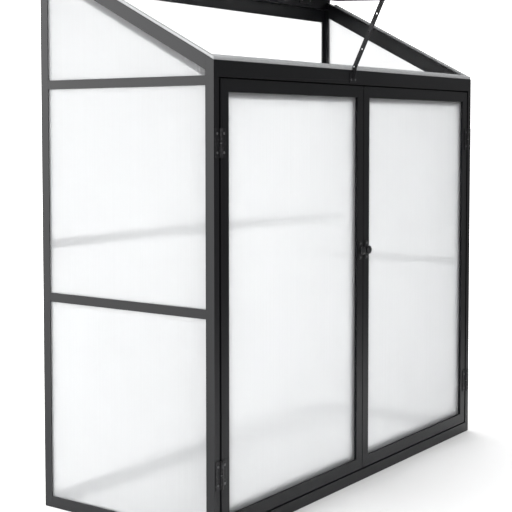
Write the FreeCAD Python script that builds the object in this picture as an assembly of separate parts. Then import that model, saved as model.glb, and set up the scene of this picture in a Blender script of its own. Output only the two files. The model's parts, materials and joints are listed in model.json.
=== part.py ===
import FreeCAD, Part
import math
import os

# Lean-to cold frame: an aluminium frame glazed with twin-wall sheet, two
# lift-off front doors and a roof lid hinged at the back.
# Millimetres. +X runs to the right along the front, -Y is the front, +Z is up.
# The origin is the middle of the footprint, on the ground.

# ---- driving dimensions ----------------------------------------------------
LENGTH = 1300.0               # along the front
DEPTH = 535.0                 # front face to back face
FRONT_HEIGHT = 1093.5         # metal roof line at the front face
ROOF_RISE = 278.0             # rise of the roof line from front face to back face
BACK_HEIGHT = 1400.0          # top of the ridge rail
WALL = 2.0                    # wall of every extrusion

POST = 24.0                   # post flange on the side and back faces
POST_FRONT = 18.5             # post flange on the front face
STOP_REACH = 36.0             # door stop flange, measured from the side face
RAIL = 22.0                   # height of the middle and upper rails
BOTTOM_RAIL = 28.0            # height of the sill and bottom rails
BOTTOM_FLANGE = 30.0          # ground flange of the sill and back bottom rail
HEADER = 36.5                 # height of the header's front face
TOP_RAIL = 42.0               # height of the back top rail
RIDGE = 64.0                  # height of the ridge rail
RIDGE_LIP = 19.0              # cover lip in front of the ridge rail
SIDE_MIDDLE_Z = 516.0         # underside of the side middle rails
SIDE_UPPER_Z = 1038.0         # underside of the side upper rails
BACK_MIDDLE_Z = 645.0         # underside of the back middle rail
SLOPE_OUTER = 30.0            # outer face of a slope rail
SLOPE_INNER = 46.0            # inner face of a slope rail
SLOPE_TOP = 22.0              # top flange of a slope rail

SHEET = 4.0                   # twin-wall sheet
SKIN = 0.35                   # each skin of a twin-wall sheet
RIB = 0.3                     # webs between the skins
FLUTE_PITCH = 10.0            # from one web to the next
SHEET_GAP = 0.5               # clearance on each side of a sheet in its groove
SHEET_FIT = 1.0               # clearance between a sheet's edge and its groove floor
SEAT = 10.0                   # how far behind a flange edge a groove floor lies

DOOR_DEPTH = 20.0             # door frame, front to back
DOOR_FACE = 29.0              # front face of a stile or door rail
DOOR_LIP = 42.0               # back flange of a stile or door rail
DOOR_BOX = 18.0               # width of the hollow edge of a door extrusion
DOOR_SHEET_FRONT = 7.5        # sheet's front face behind the door's front face
DOOR_BOTTOM_GAP = 4.0
DOOR_TOP_GAP = 4.0
MEETING_GAP = 3.0             # between the two doors
HINGE_GAP = 7.5               # between a post and its door
STOP_GAP = 2.0                # between a door's back and its stop flange
STOP_SEAL = 1.4               # seal on the stop flange
CATCH = (40.0, 13.0, 11.0)    # catch block: along X, Y and Z
CATCH_GAP = 0.8               # between a catch and a closed door
CATCH_INSET = 60.0            # catch centre from the meeting line

HINGE_HEIGHT = 65.0
HINGE_SCREW_END = 11.0        # door hinge screws, from the ends of a leaf
HINGE_LOW_Z = 162.0           # centre of a door's lower hinge
HINGE_HIGH_Z = 910.0          # centre of a door's upper hinge
HINGE_LEAF = 2.0
HINGE_LEAF_EDGE = 15.0        # leaf width beside the barrel
HINGE_BARREL_R = 4.0
HINGE_AXIS_OUT = 3.0          # door hinge axis, in front of the front face
LEAF_EDGE_GAP = 1.0           # from a post's edge, or a barrel, to its leaf
PIN_R = 2.5
PIN_INSET = 2.0               # a door hinge pin's end inside its barrel
PIN_FIT = 0.05                # radial running clearance on a pin
BARREL_GAP = 0.5              # between neighbouring barrels

KNOB_Z = 620.0
KNOB_R = 11.0
KNOB_OUT = 11.0               # knob front, in front of its plate
KNOB_PLATE = (20.0, 49.0)     # plate width and height
KNOB_PLATE_T = 2.0
KNOB_GAP = 0.3                # between a knob's collar and its plate
KNOB_COLLAR = (6.0, 4.0)      # collar radius and length
KNOB_ROUND = 2.5              # softened front edge
KNOB_CHAMFER = 1.0            # broken back edge
KNOB_SCREW_END = 6.0          # plate screws, from the plate's ends
SPINDLE_R = 3.0
SPINDLE_GAP = 0.6             # round a spindle in its stile
CAM = (12.0, 26.0, 2.5)       # cam width, reach and thickness
CAM_GAP = 1.0                 # between a cam and the back of its door
CAM_STAGGER = 3.3             # the right cam turns behind the left one

SEAL = 6.0                    # roof seal height
SEAL_WIDTH = 12.0
SEAL_INSET = 1.0              # roof seal, from the outer faces
SEAL_BUTT = 0.2               # between the front seal and a side seal
SEAL_END = 18.0               # end of a side seal, in front of the lid's hinge axis
STOP_LIP = 12.0               # how far the sill's and header's stop lips stand
STOP_SEAL_WIDTH = 7.0
STOP_SEAL_END = 2.0           # end of a stop seal, past the stop lip
HEADER_HOOK = 10.0            # depth of the hook behind the header's roof flange
LID_GAP = 0.7                 # between the roof seal and the closed lid
LID_OVERHANG = 10.0           # past each side face
LID_REACH = 600.0             # hinge axis to the lid's front edge
LID_DEPTH = 22.0              # lid frame, top to underside
LID_BOX = 10.0                # width of the hollow edge of a lid extrusion
LID_SIDE = 30.0               # width of the lid's side and rear rails
LID_SHELF = 20.0              # underside of the lid's side and rear rails
LID_FRONT = 40.0              # width of the lid's front rail
LID_REAR_GAP = 8.0            # hinge axis to the lid's rear face
LID_AXIS_OUT = 6.0            # hinge axis in front of the ridge rail
LID_HINGE_RISE = 11.7         # hinge axis above the lid's underside
LID_REST_TILT = 2.8           # front edge below level with the lid propped
LID_HINGE_WIDTH = 70.0
LID_HINGE_X = (-500.0, 0.0, 500.0)
LID_HINGE_R = 5.0
LID_HINGE_GAP = 0.6           # round a lid hinge barrel
LID_KNUCKLE = 23.0            # the lid's knuckle, in the middle of each hinge
LID_ARM = 4.0                 # thickness of the knuckle's arm
LID_PLATE_INSET = 2.0         # hinge and shoe plates, below the lid's top or above its underside
LID_LEAF = 2.5                # thickness of the fixed leaf
LID_LEAF_DROP = 32.0          # bottom of the fixed leaf, below the hinge axis
LID_SCREW = (24.0, 22.0)      # fixed leaf screws: from its middle, below the axis
LID_PIN_END = 1.0             # a lid hinge pin's end past its barrels

STAY_X = -57.0                # plane of the stay
STAY_FOOT_OUT = 6.5           # foot pivot in front of the front face
STAY_FOOT_RISE = 9.5          # foot pivot above the header's front edge
STAY_WIDTH = 12.0
STAY_THICK = 3.0
STAY_PIN_R = 2.0
STAY_PIN_END = 1.0            # the foot pin's end past its ears
STAY_HOLES = 4                # setting holes along the stay
STAY_HOLE_R = 2.5
STAY_EAR_R = 5.0
BRACKET_HALF = 16.0           # half the width of the stay's foot bracket
BRACKET_EDGE = (4.0, 6.0)     # bracket plate, from the header's bottom and top edges
BRACKET_SCREW = (10.0, 12.0)  # bracket screws: from its middle, above the header's bottom edge
EAR_ROOT = 10.0               # ear, above the header's bottom edge and below the foot pivot
STAY_SIDE_GAP = 0.7           # beside the stay, in its bracket and shoe
STAY_TIP_GAP = 0.9            # between the stay's tip and the shoe
STAY_RELIEF = (14.0, 26.0)    # slot for the foot in the lid's front rail: width, length
SHOE = (32.0, 14.0)           # shoe: forward reach, depth of its cheeks
SHOE_DROP = 2.3               # shoe roof below the lid's underside
SHOE_EAR = 8.0                # shoe plate, past each cheek
SHOE_CENTRE = 21.0            # where the stay's tip bears, ahead of the lid

SCREW_R = 1.5
SCREW_HEAD_R = 3.0
SCREW_HEAD = 1.4
SCREW_ROUND = 0.84            # rounding of a screw head's edge
SCREW_FIT = 0.05              # radial clearance round a screw
SCREW_SHORT = 6.0             # screws in the doors, posts and header
SCREW_LONG = 8.0              # screws in the ridge rail
GROUND_HOLE_R = 4.0
WALL_HOLE_R = 3.25
GROUND_HOLE_X = 560.0         # ground holes, each side of the middle
GROUND_HOLE_IN = 22.0         # ground holes, from the front and back faces
WALL_HOLE_X = 560.0           # wall holes, each side of the middle
OVER = 1.0                    # how far a cutting tool runs past what it cuts

# ---- worked out from them ----------------------------------------------------
HALF = LENGTH / 2
FRONT = -DEPTH / 2
BACK = DEPTH / 2
SLOPE = math.degrees(math.atan(ROOF_RISE / DEPTH))
SLOPE_COS = math.cos(math.radians(SLOPE))
RIDGE_Z = BACK_HEIGHT - RIDGE
RIDGE_FRONT = BACK - POST
HEADER_Z = FRONT_HEIGHT - HEADER
GROOVE = SHEET + 2 * SHEET_GAP
INNER = WALL + GROOVE                       # near side of an inner groove lip
INNER_FACE = INNER + WALL                   # room side of a groove lip
CORE = SEAT                                 # groove floor from a post's outer face
DOOR_EDGE = POST_FRONT + HINGE_GAP
DOOR_WIDTH = HALF - DOOR_EDGE - MEETING_GAP / 2
DOOR_Z = BOTTOM_RAIL + DOOR_BOTTOM_GAP
DOOR_TOP = HEADER_Z - DOOR_TOP_GAP
STOP_FRONT = DOOR_DEPTH + STOP_GAP          # front of the door stop flanges
HINGE_AXIS_IN = POST_FRONT + HINGE_GAP / 2
LID_AXIS_Y = RIDGE_FRONT - LID_AXIS_OUT
LID_CLOSED_LINE = FRONT_HEIGHT + (SEAL + LID_GAP) / SLOPE_COS
LID_AXIS_Z = (LID_CLOSED_LINE + (LID_AXIS_Y - FRONT) * math.tan(math.radians(SLOPE))
              + LID_HINGE_RISE / SLOPE_COS)
STAY_FOOT = (FRONT - STAY_FOOT_OUT, FRONT_HEIGHT + STAY_FOOT_RISE)


# ---- small tools ---------------------------------------------------------------
def outline_face(points, holes=()):
    """A flat face from a closed outline, less any hole outlines."""
    wires = [Part.makePolygon(list(corners) + [corners[0]]) for corners in (points, *holes)]
    return Part.makeFace(Part.makeCompound(wires), "Part::FaceMakerBullseye")


def solid_of(shape):
    """The one solid of a shape that a cut or fuse left in a compound."""
    solids = shape.Solids
    return solids[0] if len(solids) == 1 else shape


def rectangle(u0, v0, u1, v1):
    return [(u0, v0), (u1, v0), (u1, v1), (u0, v1)]


def along_x(outline, x0, x1, holes=()):
    """Extrude an outline of (y, z) points from x0 to x1."""
    def place(pts):
        return [FreeCAD.Vector(x0, y, z) for y, z in pts]
    face = outline_face(place(outline), [place(h) for h in holes])
    return solid_of(face.extrude(FreeCAD.Vector(x1 - x0, 0, 0)))


def along_y(outline, y0, y1, holes=()):
    """Extrude an outline of (x, z) points from y0 to y1."""
    def place(pts):
        return [FreeCAD.Vector(x, y0, z) for x, z in pts]
    face = outline_face(place(outline), [place(h) for h in holes])
    return solid_of(face.extrude(FreeCAD.Vector(0, y1 - y0, 0)))


def along_z(outline, z0, z1, holes=()):
    """Extrude an outline of (x, y) points from z0 to z1."""
    def place(pts):
        return [FreeCAD.Vector(x, y, z0) for x, y in pts]
    face = outline_face(place(outline), [place(h) for h in holes])
    return solid_of(face.extrude(FreeCAD.Vector(0, 0, z1 - z0)))


def block(x0, x1, y0, y1, z0, z1):
    return Part.makeBox(x1 - x0, y1 - y0, z1 - z0, FreeCAD.Vector(x0, y0, z0))


def rod(radius, start, end):
    """A cylinder from one point to another."""
    base = FreeCAD.Vector(*start)
    run = FreeCAD.Vector(*end) - base
    return Part.makeCylinder(radius, run.Length, base, run)


def less(shape, *tools):
    """A shape with every tool cut out of it."""
    for tool in tools:
        shape = shape.cut(tool)
    return solid_of(shape.removeSplitter())


def joined(*shapes):
    """Touching shapes as one solid."""
    shape = shapes[0]
    for other in shapes[1:]:
        shape = shape.fuse(other)
    return solid_of(shape.removeSplitter())


def screw(head, direction, length):
    """A pan-head screw: head is where the head meets the piece it holds."""
    seat = FreeCAD.Vector(*head)
    run = FreeCAD.Vector(*direction)
    cap = Part.makeCylinder(SCREW_HEAD_R, SCREW_HEAD, seat - run * SCREW_HEAD, run)
    rim = [edge for edge in cap.Edges if edge.Length > math.pi * SCREW_HEAD_R
           and (edge.BoundBox.Center - seat).Length > SCREW_HEAD / 2]
    cap = cap.makeFillet(SCREW_ROUND, rim)
    return joined(cap, Part.makeCylinder(SCREW_R, length, seat, run))


def shanks(screws):
    """Clearance holes for a list of screws given as (head, direction, length)."""
    holes = []
    for head, direction, length in screws:
        seat = FreeCAD.Vector(*head)
        run = FreeCAD.Vector(*direction)
        holes.append(Part.makeCylinder(SCREW_R + SCREW_FIT, length + 2 * OVER,
                                       seat - run * OVER, run))
    return holes


nodes = {}


def keep(name, *solids):
    nodes[name] = list(solids)


SIDES = (("left", -1.0), ("right", 1.0))


def from_side(side, inset):
    """X of a point that lies inset mm inside a side face."""
    return side * (HALF - inset)


def span(side, near, far):
    """The lower and higher X of two points given as insets from a side face."""
    return sorted((from_side(side, near), from_side(side, far)))


def sided(side, points):
    """Points given as (inset from the side face, other) as (x, other)."""
    return [(from_side(side, inset), other) for inset, other in points]


def roof_z(y, drop=0.0):
    """Height of the roof line at y, or of a line drop mm below it, square to it."""
    return FRONT_HEIGHT + (y - FRONT) * ROOF_RISE / DEPTH - drop / SLOPE_COS


# ---- screws that several pieces share ----------------------------------------
def leaf_span(on_door):
    """Where a door hinge leaf lies: its near and far edges, from the side face."""
    if on_door:
        near = HINGE_AXIS_IN + HINGE_BARREL_R + LEAF_EDGE_GAP
        return near, near + HINGE_LEAF_EDGE
    near = POST_FRONT - LEAF_EDGE_GAP
    return near, near - HINGE_LEAF_EDGE


def hinge_screw_places(side, centre_z, on_door):
    """Two screws through a door hinge leaf."""
    near, far = leaf_span(on_door)
    offset = HINGE_HEIGHT / 2 - HINGE_SCREW_END
    return [((from_side(side, (near + far) / 2), FRONT - HINGE_LEAF, centre_z + dz),
             (0, 1, 0), SCREW_SHORT) for dz in (-offset, offset)]


def knob_x(side):
    return side * (MEETING_GAP / 2 + DOOR_FACE / 2)


def knob_screw_places(side):
    offset = KNOB_PLATE[1] / 2 - KNOB_SCREW_END
    return [((knob_x(side), FRONT - KNOB_PLATE_T, KNOB_Z + dz), (0, 1, 0), SCREW_SHORT)
            for dz in (-offset, offset)]


def lid_hinge_screw_places(centre):
    """Screws from the fixed leaf into the ridge rail."""
    across, drop = LID_SCREW
    return [((centre + dx, RIDGE_FRONT - LID_LEAF, LID_AXIS_Z - drop), (0, 1, 0), SCREW_LONG)
            for dx in (-across, across)]


HINGE_CENTRES = (HINGE_LOW_Z, HINGE_HIGH_Z)


# ---- frame ---------------------------------------------------------------------
def front_post(side):
    outline = [(0, 0), (POST_FRONT, 0), (POST_FRONT, WALL), (INNER_FACE, WALL),
               (INNER_FACE, STOP_FRONT), (STOP_REACH, STOP_FRONT),
               (STOP_REACH, STOP_FRONT + WALL), (INNER, STOP_FRONT + WALL),
               (INNER, CORE), (WALL, CORE), (WALL, POST), (0, POST)]
    hollow = rectangle(WALL, WALL, INNER, CORE - WALL)

    def place(points):
        return [(from_side(side, a), FRONT + b) for a, b in points]
    post = along_z(place(outline), 0, BACK_HEIGHT, [place(hollow)])
    near, top = FRONT - OVER, BACK_HEIGHT + OVER
    above = along_x([(near, roof_z(near)), (BACK, roof_z(BACK)), (BACK, top), (near, top)],
                    -HALF - OVER, HALF + OVER)
    holes = []
    for centre in HINGE_CENTRES:
        holes += shanks(hinge_screw_places(side, centre, on_door=False))
    return less(post, above, *holes)


def back_post(side):
    outline = [(0, 0), (POST, 0), (POST, WALL), (CORE, WALL), (CORE, INNER),
               (POST, INNER), (POST, INNER_FACE), (INNER_FACE, INNER_FACE),
               (INNER_FACE, POST), (INNER, POST), (INNER, CORE), (WALL, CORE),
               (WALL, POST), (0, POST)]
    hollow = rectangle(WALL, WALL, INNER - WALL, INNER - WALL)

    def place(points):
        return [(from_side(side, a), BACK - b) for a, b in points]
    return along_z(place(outline), 0, RIDGE_Z, [place(hollow)])


def h_outline(z):
    """An H section: a sheet stands on it and another hangs into it."""
    middle = z + RAIL / 2
    return [(0, z), (WALL, z), (WALL, middle - WALL / 2), (INNER, middle - WALL / 2),
            (INNER, z), (INNER_FACE, z), (INNER_FACE, z + RAIL), (INNER, z + RAIL),
            (INNER, middle + WALL / 2), (WALL, middle + WALL / 2),
            (WALL, z + RAIL), (0, z + RAIL)]


def side_rail(side, z):
    return along_y(sided(side, h_outline(z)), FRONT + POST, BACK - POST)


def groove_up(height, flange):
    """A bottom rail: a sheet groove on top of a hollow base with a ground flange."""
    floor = WALL + SEAT
    outline = [(0, 0), (flange, 0), (flange, WALL), (INNER_FACE, WALL),
               (INNER_FACE, height), (INNER, height), (INNER, floor), (WALL, floor),
               (WALL, height), (0, height)]
    return outline, rectangle(WALL, WALL, INNER, floor - WALL)


def side_bottom_rail(side):
    outline, hollow = groove_up(BOTTOM_RAIL, POST)
    return along_y(sided(side, outline), FRONT + POST, BACK - POST, [sided(side, hollow)])


def ground_holes(y):
    """Two fixing holes through a ground flange."""
    return [rod(GROUND_HOLE_R, (side * GROUND_HOLE_X, y, -OVER),
                (side * GROUND_HOLE_X, y, WALL + OVER)) for _, side in SIDES]


def back_bottom_rail():
    outline, hollow = groove_up(BOTTOM_RAIL, BOTTOM_FLANGE)
    rail = along_x([(BACK - b, z) for b, z in outline], -HALF + POST, HALF - POST,
                   [[(BACK - b, z) for b, z in hollow]])
    return less(rail, *ground_holes(BACK - GROUND_HOLE_IN))


def back_middle_rail():
    return along_x([(BACK - b, w) for b, w in h_outline(BACK_MIDDLE_Z)],
                   -HALF + POST, HALF - POST)


def back_top_rail():
    z, floor = RIDGE_Z - TOP_RAIL, RIDGE_Z - TOP_RAIL + SEAT + WALL
    outline = [(0, z), (WALL, z), (WALL, floor), (INNER, floor), (INNER, z),
               (INNER_FACE, z), (INNER_FACE, RIDGE_Z - WALL), (POST, RIDGE_Z - WALL),
               (POST, RIDGE_Z), (0, RIDGE_Z)]
    hollow = rectangle(WALL, floor + WALL, INNER, RIDGE_Z - WALL)
    return along_x([(BACK - b, w) for b, w in outline], -HALF + POST, HALF - POST,
                   [[(BACK - b, w) for b, w in hollow]])


def ridge_rail():
    top = BACK_HEIGHT
    lip = RIDGE_FRONT - RIDGE_LIP
    outline = [(BACK, RIDGE_Z), (BACK, top), (lip, top), (lip, top - 2 * WALL),
               (lip + WALL, top - 2 * WALL), (lip + WALL, top - WALL),
               (RIDGE_FRONT, top - WALL), (RIDGE_FRONT, RIDGE_Z)]
    hollow = rectangle(RIDGE_FRONT + WALL, RIDGE_Z + WALL, BACK - WALL, top - WALL)
    rail = along_x(outline, -HALF, HALF, [hollow])
    middle = RIDGE_Z + RIDGE / 2
    holes = [rod(WALL_HOLE_R, (side * WALL_HOLE_X, RIDGE_FRONT - OVER, middle),
                 (side * WALL_HOLE_X, BACK + OVER, middle)) for _, side in SIDES]
    for centre in LID_HINGE_X:
        holes += shanks(lid_hinge_screw_places(centre))
    return less(rail, *holes)


def slope_rail(side):
    """Drawn square to the roof line, then laid along it."""
    outline = [(0, 0), (SLOPE_TOP, 0), (SLOPE_TOP, -WALL), (INNER_FACE, -WALL),
               (INNER_FACE, -SLOPE_INNER), (INNER, -SLOPE_INNER),
               (INNER, -(WALL + SEAT)), (WALL, -(WALL + SEAT)),
               (WALL, -SLOPE_OUTER), (0, -SLOPE_OUTER)]
    hollow = rectangle(WALL, -SEAT, INNER, -WALL)
    rail = along_y(sided(side, outline), FRONT - DEPTH, BACK + DEPTH, [sided(side, hollow)])
    rail.rotate(FreeCAD.Vector(0, FRONT, 0), FreeCAD.Vector(1, 0, 0), SLOPE)
    rail.translate(FreeCAD.Vector(0, 0, FRONT_HEIGHT))
    room = block(-HALF - OVER, HALF + OVER, FRONT + POST, RIDGE_FRONT, 0, 2 * BACK_HEIGHT)
    return less(rail.common(room), side_rail(side, SIDE_UPPER_Z))


def catch_block(side, top):
    """A magnet block behind a door's sill or header edge."""
    centre = side * (MEETING_GAP / 2 + CATCH_INSET)
    z = HEADER_Z - CATCH[2] if top else BOTTOM_RAIL
    y = FRONT + DOOR_DEPTH + CATCH_GAP
    return block(centre - CATCH[0] / 2, centre + CATCH[0] / 2, y, y + CATCH[1], z, z + CATCH[2])


def catches():
    return [catch_block(side, top) for _, side in SIDES for top in (False, True)]


def front_sill(posts):
    lip = BOTTOM_RAIL + STOP_LIP
    back = STOP_FRONT + WALL
    outline = [(0, 0), (BOTTOM_FLANGE, 0), (BOTTOM_FLANGE, WALL), (WALL, WALL),
               (WALL, BOTTOM_RAIL - WALL), (back, BOTTOM_RAIL - WALL), (back, lip),
               (STOP_FRONT, lip), (STOP_FRONT, BOTTOM_RAIL), (0, BOTTOM_RAIL)]
    sill = along_x([(FRONT + b, z) for b, z in outline], -HALF + POST_FRONT, HALF - POST_FRONT)
    side_rails = [side_bottom_rail(side) for _, side in SIDES]
    return less(sill, *posts, *side_rails, *catches(),
                *ground_holes(FRONT + GROUND_HOLE_IN))


def header_outline():
    """A channel whose top flange follows the roof slope."""
    depth = BOTTOM_FLANGE
    back = STOP_FRONT + WALL
    lip = HEADER_Z - STOP_LIP
    hook = roof_z(FRONT + depth) - HEADER_HOOK
    return [(0, HEADER_Z), (0, FRONT_HEIGHT), (depth, roof_z(FRONT + depth)),
            (depth, hook), (depth - WALL, hook),
            (depth - WALL, roof_z(FRONT + depth - WALL, WALL)),
            (WALL, roof_z(FRONT + WALL, WALL)),
            (WALL, HEADER_Z + WALL), (back, HEADER_Z + WALL), (back, lip),
            (STOP_FRONT, lip), (STOP_FRONT, HEADER_Z)]


def front_header(posts):
    header = along_x([(FRONT + b, z) for b, z in header_outline()],
                     -HALF + POST_FRONT, HALF - POST_FRONT)
    return less(header, *posts, *catches(), *slope_rails(), *shanks(stay_bracket_screws()))


def slope_rails():
    return [slope_rail(side) for _, side in SIDES]


def weather_seals():
    """The roof seal on the header and slope rails, and the seals on the door stops."""
    lift = SEAL / SLOPE_COS
    near, far = FRONT + SEAL_INSET, FRONT + SEAL_INSET + SEAL_WIDTH
    front = along_x([(near, roof_z(near)), (far, roof_z(far)), (far, roof_z(far) + lift),
                     (near, roof_z(near) + lift)], -HALF + SEAL_INSET, HALF - SEAL_INSET)
    seals = [front]
    start, end = far + SEAL_BUTT, LID_AXIS_Y - SEAL_END
    clear = STOP_LIP + STOP_SEAL_END
    for _, side in SIDES:
        x0, x1 = span(side, SEAL_INSET, SEAL_INSET + SEAL_WIDTH)
        seals.append(along_x([(start, roof_z(start)), (end, roof_z(end)),
                              (end, roof_z(end) + lift), (start, roof_z(start) + lift)], x0, x1))
        x0, x1 = span(side, STOP_REACH - STOP_SEAL_WIDTH, STOP_REACH)
        seals.append(block(x0, x1, FRONT + STOP_FRONT - STOP_SEAL, FRONT + STOP_FRONT,
                           BOTTOM_RAIL + clear, HEADER_Z - clear))
    return seals


# ---- glazing ----------------------------------------------------------------
SHEET_IN = WALL + SHEET_GAP                  # sheet's outer face from the wall's face


def flutes(start, end):
    """The hollow cells between the webs of a sheet that is start to end wide."""
    count = int((end - start - RIB) // FLUTE_PITCH)
    first = (start + end - count * FLUTE_PITCH) / 2
    return [(first + i * FLUTE_PITCH + RIB / 2, first + (i + 1) * FLUTE_PITCH - RIB / 2)
            for i in range(count)]


def upright_sheet(x0, x1, y0, y1, z0, z1):
    """A twin-wall sheet with upright flutes, thin along X or along Y."""
    if x1 - x0 < y1 - y0:
        cells = [rectangle(x0 + SKIN, v0, x1 - SKIN, v1) for v0, v1 in flutes(y0, y1)]
    else:
        cells = [rectangle(u0, y0 + SKIN, u1, y1 - SKIN) for u0, u1 in flutes(x0, x1)]
    return along_z(rectangle(x0, y0, x1, y1), z0, z1, cells)


def side_sheet(side, outline):
    """A sheet of a side wall, trimmed to an outline of (y, z) points."""
    x0, x1 = span(side, SHEET_IN, SHEET_IN + SHEET)
    ys, zs = [y for y, _ in outline], [z for _, z in outline]
    sheet = upright_sheet(x0, x1, min(ys), max(ys), min(zs), max(zs))
    if len(outline) == 4:
        return sheet
    return solid_of(sheet.common(along_x(outline, x0 - OVER, x1 + OVER)))


def side_sheets(side):
    """Outlines of the three sheets of a side wall."""
    near, far = FRONT + CORE + SHEET_FIT, BACK - CORE - SHEET_FIT
    seat = WALL + SEAT + SHEET_FIT
    web = WALL / 2 + SHEET_FIT
    middle_web = SIDE_MIDDLE_Z + RAIL / 2
    upper_web = SIDE_UPPER_Z + RAIL / 2
    shoulder = RIDGE_FRONT - SHEET_FIT
    gable = [(near, upper_web + web), (far, upper_web + web),
             (far, RIDGE_Z - SHEET_FIT), (shoulder, RIDGE_Z - SHEET_FIT),
             (shoulder, roof_z(shoulder, seat)), (near, roof_z(near, seat))]
    return {"lower": rectangle(near, seat, far, middle_web - web),
            "middle": rectangle(near, middle_web + web, far, upper_web - web),
            "gable": gable}


def back_sheet(z0, z1):
    edge = HALF - CORE - SHEET_FIT
    return upright_sheet(-edge, edge, BACK - SHEET_IN - SHEET, BACK - SHEET_IN, z0, z1)


# ---- doors --------------------------------------------------------------------
def door_outline():
    """Door extrusion: (distance from the outer edge, distance behind the face)."""
    lip = DOOR_SHEET_FRONT - SHEET_GAP
    rear = DOOR_SHEET_FRONT + SHEET + SHEET_GAP
    outline = [(0, 0), (DOOR_FACE, 0), (DOOR_FACE, lip), (DOOR_FACE - WALL, lip),
               (DOOR_FACE - WALL, WALL), (DOOR_BOX, WALL), (DOOR_BOX, rear), (DOOR_FACE, rear),
               (DOOR_FACE, rear + WALL), (DOOR_BOX, rear + WALL), (DOOR_BOX, DOOR_DEPTH - WALL),
               (DOOR_LIP, DOOR_DEPTH - WALL), (DOOR_LIP, DOOR_DEPTH), (0, DOOR_DEPTH)]
    hollow = rectangle(WALL, WALL, DOOR_BOX - WALL, DOOR_DEPTH - WALL)
    return outline, hollow


def door_frame(side):
    """Hinge stile, meeting stile and the two rails, mitred at the corners."""
    outline, hollow = door_outline()
    outer_x = from_side(side, DOOR_EDGE)
    inner_x = side * MEETING_GAP / 2
    toward = -side
    width, height = DOOR_WIDTH, DOOR_TOP - DOOR_Z
    middle = min(width, height) / 2

    def slab(points):
        return along_y([(outer_x + toward * u, DOOR_Z + w) for u, w in points],
                       FRONT, FRONT + DOOR_DEPTH)

    def stile(x, direction, cut):
        bar = along_z([(x + direction * u, FRONT + v) for u, v in outline], DOOR_Z, DOOR_TOP,
                      [[(x + direction * u, FRONT + v) for u, v in hollow]])
        return solid_of(bar.common(slab(cut)).removeSplitter())

    def rail(z, direction, cut):
        x0, x1 = sorted((outer_x, inner_x))
        bar = along_x([(FRONT + v, z + direction * u) for u, v in outline], x0, x1,
                      [[(FRONT + v, z + direction * u) for u, v in hollow]])
        return solid_of(bar.common(slab(cut)).removeSplitter())

    hinge = stile(outer_x, toward, [(0, 0), (middle, middle), (middle, height - middle),
                                    (0, height)])
    meeting = stile(inner_x, side, [(width, 0), (width, height),
                                    (width - middle, height - middle),
                                    (width - middle, middle)])
    bottom = rail(DOOR_Z, 1, [(0, 0), (width, 0), (width - middle, middle),
                              (middle, middle)])
    top = rail(DOOR_TOP, -1, [(0, height), (middle, height - middle),
                              (width - middle, height - middle), (width, height)])
    return hinge, meeting, bottom, top


def door_sheet(side):
    edge = DOOR_BOX + SHEET_FIT
    x0, x1 = sorted((from_side(side, DOOR_EDGE + edge), side * (MEETING_GAP / 2 + edge)))
    y = FRONT + DOOR_SHEET_FRONT
    return upright_sheet(x0, x1, y, y + SHEET, DOOR_Z + edge, DOOR_TOP - edge)


def hinge_leaf(side, centre_z, on_door):
    """One leaf of a lift-off hinge: the door's barrel sits on the post's."""
    axis_x = from_side(side, HINGE_AXIS_IN)
    axis_y = FRONT - HINGE_AXIS_OUT
    low, high = centre_z - HINGE_HEIGHT / 2, centre_z + HINGE_HEIGHT / 2
    near, far = leaf_span(on_door)
    if on_door:
        z0, z1, bore = centre_z + BARREL_GAP / 2, high, PIN_R + PIN_FIT
    else:
        z0, z1, bore = low, centre_z - BARREL_GAP / 2, PIN_R
    plate = block(*span(side, near, far), FRONT - HINGE_LEAF, FRONT, low, high)
    arm = block(*span(side, near, HINGE_AXIS_IN), FRONT - HINGE_LEAF, FRONT, z0, z1)
    barrel = rod(HINGE_BARREL_R, (axis_x, axis_y, z0), (axis_x, axis_y, z1))
    hole = rod(bore, (axis_x, axis_y, low - OVER), (axis_x, axis_y, high + OVER))
    return less(joined(plate, arm, barrel), hole,
                *shanks(hinge_screw_places(side, centre_z, on_door)))


def hinge_pin(side, centre_z):
    x, y = from_side(side, HINGE_AXIS_IN), FRONT - HINGE_AXIS_OUT
    reach = HINGE_HEIGHT / 2 - PIN_INSET
    return rod(PIN_R, (x, y, centre_z - reach), (x, y, centre_z + reach))


# ---- knobs ---------------------------------------------------------------------
def knob_plate(side):
    width, height = KNOB_PLATE
    x, r = knob_x(side), width / 2
    y0, y1 = FRONT - KNOB_PLATE_T, FRONT
    straight = height / 2 - r
    plate = joined(block(x - r, x + r, y0, y1, KNOB_Z - straight, KNOB_Z + straight),
                   rod(r, (x, y0, KNOB_Z - straight), (x, y1, KNOB_Z - straight)),
                   rod(r, (x, y0, KNOB_Z + straight), (x, y1, KNOB_Z + straight)))
    hole = rod(SPINDLE_R + PIN_FIT, (x, y0 - OVER, KNOB_Z), (x, y1 + OVER, KNOB_Z))
    return less(plate, hole, *shanks(knob_screw_places(side)))


def cam_front(side):
    """Front face of a cam."""
    return FRONT + DOOR_DEPTH + CAM_GAP + (CAM_STAGGER if side > 0 else 0.0)


def knob(side):
    """A turned knob on a collar, with its spindle through the stile."""
    face = FRONT - KNOB_PLATE_T - KNOB_GAP
    front = FRONT - KNOB_PLATE_T - KNOB_OUT
    tail = cam_front(side) + CAM[2]
    collar, length = KNOB_COLLAR
    stem = face - length
    profile = [(0, front), (KNOB_R - KNOB_ROUND, front), (KNOB_R, front + KNOB_ROUND),
               (KNOB_R, stem - KNOB_CHAMFER), (KNOB_R - KNOB_CHAMFER, stem), (collar, stem),
               (collar, face), (SPINDLE_R, face), (SPINDLE_R, tail), (0, tail)]
    half = outline_face([FreeCAD.Vector(knob_x(side) + r, y, KNOB_Z) for r, y in profile])
    axis = FreeCAD.Vector(knob_x(side), 0, KNOB_Z)
    return solid_of(half.revolve(axis, FreeCAD.Vector(0, 1, 0), 360))


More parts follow.
